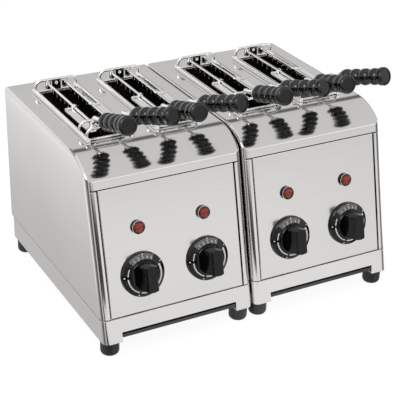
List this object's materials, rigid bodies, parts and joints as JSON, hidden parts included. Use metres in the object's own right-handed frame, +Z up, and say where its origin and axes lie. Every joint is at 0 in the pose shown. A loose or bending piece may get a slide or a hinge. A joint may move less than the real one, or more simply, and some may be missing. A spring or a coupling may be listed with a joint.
{
  "type": "four-slot toaster",
  "caption": "Steel slot toaster of two bolted modules with lift-out sandwich tongs, timer knobs, pilot lamps and slide-out crumb trays.",
  "frame": {"origin": "on the floor under the feet, midway between the sides and midway between the knob tips and the back", "axes": "+Z up, -Y toward the front with the knobs, +X to the right seen from the front"},
  "size_m": [0.37, 0.2918, 0.2684],
  "materials": {
    "polished_steel": "mirror-polished stainless steel sheet",
    "satin_steel": "satin stainless steel sheet, fine brushed",
    "base_steel": "satin stainless steel sheet",
    "zinc_steel": "zinc-plated steel",
    "chamber_steel": "heat-darkened aluminised steel sheet",
    "heater_sheath": "oxidised metal sheath",
    "tong_chrome": "bright plated steel wire and strip",
    "chrome": "chromed ring",
    "black_enamel": "black enamelled steel sheet",
    "rubber": "moulded rubber",
    "black_plastic": "moulded nylon",
    "knob_phenolic": "gloss black phenolic",
    "handle_phenolic": "satin black phenolic",
    "red_lens": "translucent red lens"
  },
  "bodies": {
    "chassis": {"left_casing": "polished_steel", "right_casing": "polished_steel", "left_front_panel": "satin_steel", "right_front_panel": "satin_steel", "left_rear_panel": "satin_steel", "right_rear_panel": "satin_steel", "left_base": "base_steel", "right_base": "base_steel", "left_feet": "rubber", "right_feet": "rubber", "joining_bolts": "zinc_steel", "cable_gland": "black_plastic", "pilot_bezels": "chrome", "pilot_lenses": "red_lens", "chamber_1": "chamber_steel", "chamber_2": "chamber_steel", "chamber_3": "chamber_steel", "chamber_4": "chamber_steel", "left_heaters": "heater_sheath", "right_heaters": "heater_sheath", "timers": "black_plastic"},
    "knob_1": {"timer_shaft_1": "zinc_steel", "timer_knob_1": "knob_phenolic"},
    "knob_2": {"timer_shaft_2": "zinc_steel", "timer_knob_2": "knob_phenolic"},
    "knob_3": {"timer_shaft_3": "zinc_steel", "timer_knob_3": "knob_phenolic"},
    "knob_4": {"timer_shaft_4": "zinc_steel", "timer_knob_4": "knob_phenolic"},
    "left_tray": {"left_crumb_tray": "black_enamel"},
    "right_tray": {"right_crumb_tray": "black_enamel"},
    "tong_1": {"tong_1_frame": "tong_chrome", "tong_1_left_jaw": "tong_chrome", "tong_1_left_basket": "tong_chrome", "tong_1_left_handle": "handle_phenolic"},
    "tong_1_grip": {"tong_1_right_jaw": "tong_chrome", "tong_1_right_basket": "tong_chrome", "tong_1_right_handle": "handle_phenolic"},
    "tong_2": {"tong_2_frame": "tong_chrome", "tong_2_left_jaw": "tong_chrome", "tong_2_left_basket": "tong_chrome", "tong_2_left_handle": "handle_phenolic"},
    "tong_2_grip": {"tong_2_right_jaw": "tong_chrome", "tong_2_right_basket": "tong_chrome", "tong_2_right_handle": "handle_phenolic"},
    "tong_3": {"tong_3_frame": "tong_chrome", "tong_3_left_jaw": "tong_chrome", "tong_3_left_basket": "tong_chrome", "tong_3_left_handle": "handle_phenolic"},
    "tong_3_grip": {"tong_3_right_jaw": "tong_chrome", "tong_3_right_basket": "tong_chrome", "tong_3_right_handle": "handle_phenolic"},
    "tong_4": {"tong_4_frame": "tong_chrome", "tong_4_left_jaw": "tong_chrome", "tong_4_left_basket": "tong_chrome", "tong_4_left_handle": "handle_phenolic"},
    "tong_4_grip": {"tong_4_right_jaw": "tong_chrome", "tong_4_right_basket": "tong_chrome", "tong_4_right_handle": "handle_phenolic"}
  },
  "joints": [
    {"name": "knob_1_turn", "type": "hinge", "parent": "chassis", "child": "knob_1", "pos_m": [-0.13225, -0.1183, 0.08721], "axis": [0, 0.9744, -0.225], "range_deg": [0, 300]},
    {"name": "knob_2_turn", "type": "hinge", "parent": "chassis", "child": "knob_2", "pos_m": [-0.05375, -0.1183, 0.08721], "axis": [0, 0.9744, -0.225], "range_deg": [0, 300]},
    {"name": "knob_3_turn", "type": "hinge", "parent": "chassis", "child": "knob_3", "pos_m": [0.05375, -0.1183, 0.08721], "axis": [0, 0.9744, -0.225], "range_deg": [0, 300]},
    {"name": "knob_4_turn", "type": "hinge", "parent": "chassis", "child": "knob_4", "pos_m": [0.13225, -0.1183, 0.08721], "axis": [0, 0.9744, -0.225], "range_deg": [0, 300]},
    {"name": "left_tray_pull", "type": "slide", "parent": "chassis", "child": "left_tray", "axis": [0, -1, 0], "range_m": [0, 0.2]},
    {"name": "right_tray_pull", "type": "slide", "parent": "chassis", "child": "right_tray", "axis": [0, -1, 0], "range_m": [0, 0.2]},
    {"name": "tong_1_lift", "type": "slide", "parent": "chassis", "child": "tong_1", "axis": [0, 0, 1], "range_m": [0, 0.16]},
    {"name": "tong_1_squeeze", "type": "hinge", "parent": "tong_1", "child": "tong_1_grip", "pos_m": [-0.12335, 0.11195, 0.225], "axis": [0, 0, -1], "range_deg": [0, 5]},
    {"name": "tong_2_lift", "type": "slide", "parent": "chassis", "child": "tong_2", "axis": [0, 0, 1], "range_m": [0, 0.16]},
    {"name": "tong_2_squeeze", "type": "hinge", "parent": "tong_2", "child": "tong_2_grip", "pos_m": [-0.04205, 0.11195, 0.225], "axis": [0, 0, -1], "range_deg": [0, 5]},
    {"name": "tong_3_lift", "type": "slide", "parent": "chassis", "child": "tong_3", "axis": [0, 0, 1], "range_m": [0, 0.16]},
    {"name": "tong_3_squeeze", "type": "hinge", "parent": "tong_3", "child": "tong_3_grip", "pos_m": [0.06265, 0.11195, 0.225], "axis": [0, 0, -1], "range_deg": [0, 5]},
    {"name": "tong_4_lift", "type": "slide", "parent": "chassis", "child": "tong_4", "axis": [0, 0, 1], "range_m": [0, 0.16]},
    {"name": "tong_4_squeeze", "type": "hinge", "parent": "tong_4", "child": "tong_4_grip", "pos_m": [0.14395, 0.11195, 0.225], "axis": [0, 0, -1], "range_deg": [0, 5]}
  ]
}
